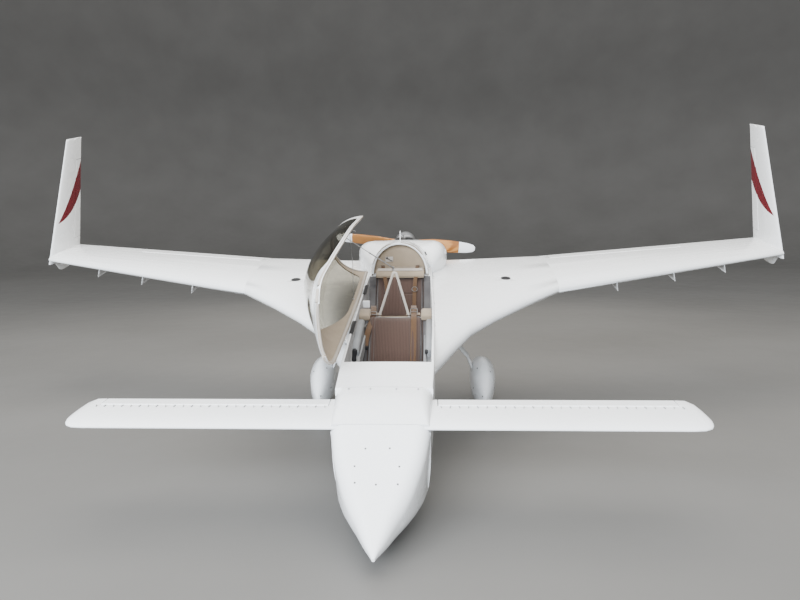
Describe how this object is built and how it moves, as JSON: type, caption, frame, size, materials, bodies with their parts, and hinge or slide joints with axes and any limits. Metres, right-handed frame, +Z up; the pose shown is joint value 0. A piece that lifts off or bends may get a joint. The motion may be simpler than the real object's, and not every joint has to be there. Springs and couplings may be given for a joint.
{
  "type": "two-seat canard pusher homebuilt aircraft",
  "caption": "Canard pusher aircraft with swept wings, winglets, tandem cockpit under an open side-hinged canopy, parked nose-down on main wheels and a nose bumper.",
  "frame": {"origin": "on the floor under the middle of the parked aircraft's box", "axes": "+Z up, -Y ahead of the nose, +X towards the aircraft's left wing tip; the aircraft stands pitched 15.6 degrees nose-down"},
  "size_m": [8.0524, 4.437, 2.8874],
  "materials": {
    "white_paint": "gloss white paint on smooth composite skin",
    "brown_upholstery": "soft brown quilted upholstery",
    "beige_trim": "matt beige cockpit trim",
    "grey_panel": "textured dark grey panel",
    "bare_metal": "brushed and slightly dulled",
    "black_rubber": "matt moulded rubber",
    "tyre_rubber": "worn tyre rubber",
    "laminated_wood": "varnished laminated wood with white tips",
    "smoked_glass": "clear bronze-tinted acrylic"
  },
  "bodies": {
    "airframe": {"fuselage_tub": "white_paint", "nose_fairing": "white_paint", "nose_bumper": "black_rubber", "canard": "white_paint", "canard_cover": "white_paint", "front_deck": "white_paint", "turtledeck": "white_paint", "rear_trim_panel": "beige_trim", "cowling_top": "white_paint", "cowling_bottom": "white_paint", "engine_block": "bare_metal", "strake_left": "white_paint", "strake_right": "white_paint", "fuel_cap_left": "bare_metal", "fuel_cap_right": "bare_metal", "wing_left": "white_paint", "wing_right": "white_paint", "winglet_left": "white_paint", "winglet_right": "white_paint", "gear_leg_left": "white_paint", "gear_leg_right": "white_paint", "wheel_pant_left": "white_paint", "wheel_pant_right": "white_paint", "axle_left": "bare_metal", "axle_right": "bare_metal", "nose_gear_leg": "white_paint", "front_seat_back": "brown_upholstery", "front_seat_cushion": "brown_upholstery", "rear_seat_back": "brown_upholstery", "rear_seat_cushion": "brown_upholstery", "headrest": "brown_upholstery", "console_left": "beige_trim", "console_right": "beige_trim", "instrument_panel": "grey_panel", "antenna_fin": "white_paint"},
    "canopy": {"canopy_frame": "white_paint", "canopy_glass": "smoked_glass"},
    "stay": {"canopy_stay": "bare_metal"},
    "propeller": {"propeller": "laminated_wood", "spinner": "bare_metal"},
    "left_wheel": {"tyre_left": "tyre_rubber", "rim_left": "bare_metal"},
    "right_wheel": {"tyre_right": "tyre_rubber", "rim_right": "bare_metal"},
    "nose_wheel": {"nose_tyre": "tyre_rubber", "nose_rim": "bare_metal"},
    "left_elevator": {"elevator_left": "white_paint"},
    "right_elevator": {"elevator_right": "white_paint"},
    "left_aileron": {"aileron_left": "white_paint"},
    "right_aileron": {"aileron_right": "white_paint"},
    "left_rudder": {"rudder_left": "white_paint"},
    "right_rudder": {"rudder_right": "white_paint"}
  },
  "joints": [
    {"name": "canopy_hinge", "type": "hinge", "parent": "airframe", "child": "canopy", "pos_m": [-0.30671, -0.33917, 1.05644], "axis": [-0.0187, -0.963, -0.2689], "range_deg": [-92.5, 0]},
    {"name": "stay_pivot", "type": "hinge", "parent": "canopy", "child": "stay", "pos_m": [-0.4191, -0.12173, 1.64721], "axis": [-0.0187, -0.963, -0.2689], "range_deg": [-53, 0]},
    {"name": "propeller_spin", "type": "hinge", "parent": "airframe", "child": "propeller", "pos_m": [0, 1.78536, 1.58896], "axis": [0, 0.9632, 0.2689], "continuous": true},
    {"name": "left_wheel_spin", "type": "hinge", "parent": "airframe", "child": "left_wheel", "pos_m": [0.79248, 0.8964, 0.17778], "axis": [1, 0, 0], "continuous": true},
    {"name": "right_wheel_spin", "type": "hinge", "parent": "airframe", "child": "right_wheel", "pos_m": [-0.79248, 0.8964, 0.17778], "axis": [1, 0, 0], "continuous": true},
    {"name": "nose_wheel_spin", "type": "hinge", "parent": "airframe", "child": "nose_wheel", "pos_m": [0, -1.01522, 0.26641], "axis": [1, 0, 0], "continuous": true},
    {"name": "left_elevator_hinge", "type": "hinge", "parent": "airframe", "child": "left_elevator", "pos_m": [0.99822, -1.51851, 0.64277], "axis": [1, 0, 0], "range_deg": [-30, 15]},
    {"name": "right_elevator_hinge", "type": "hinge", "parent": "airframe", "child": "right_elevator", "pos_m": [-0.99822, -1.51851, 0.64277], "axis": [1, 0, 0], "range_deg": [-30, 15]},
    {"name": "left_aileron_hinge", "type": "hinge", "parent": "airframe", "child": "left_aileron", "pos_m": [2.2352, 1.51935, 1.4463], "axis": [0.9539, 0.2931, 0.0638], "range_deg": [-20, 20]},
    {"name": "right_aileron_hinge", "type": "hinge", "parent": "airframe", "child": "right_aileron", "pos_m": [-2.2352, 1.51935, 1.4463], "axis": [0.9539, -0.2931, -0.0638], "range_deg": [-20, 20]},
    {"name": "left_rudder_hinge", "type": "hinge", "parent": "airframe", "child": "left_rudder", "pos_m": [3.94351, 2.09649, 2.14656], "axis": [0.0762, -0.0352, -0.9965], "range_deg": [0, 30]},
    {"name": "right_rudder_hinge", "type": "hinge", "parent": "airframe", "child": "right_rudder", "pos_m": [-3.94351, 2.09649, 2.14656], "axis": [0.0762, 0.0352, 0.9965], "range_deg": [0, 30]}
  ],
  "couplings": [
    {"joint": "stay_pivot", "follows": "canopy_hinge", "ratio": 0.573},
    {"joint": "right_elevator_hinge", "follows": "left_elevator_hinge", "ratio": 1},
    {"joint": "right_aileron_hinge", "follows": "left_aileron_hinge", "ratio": -1}
  ]
}
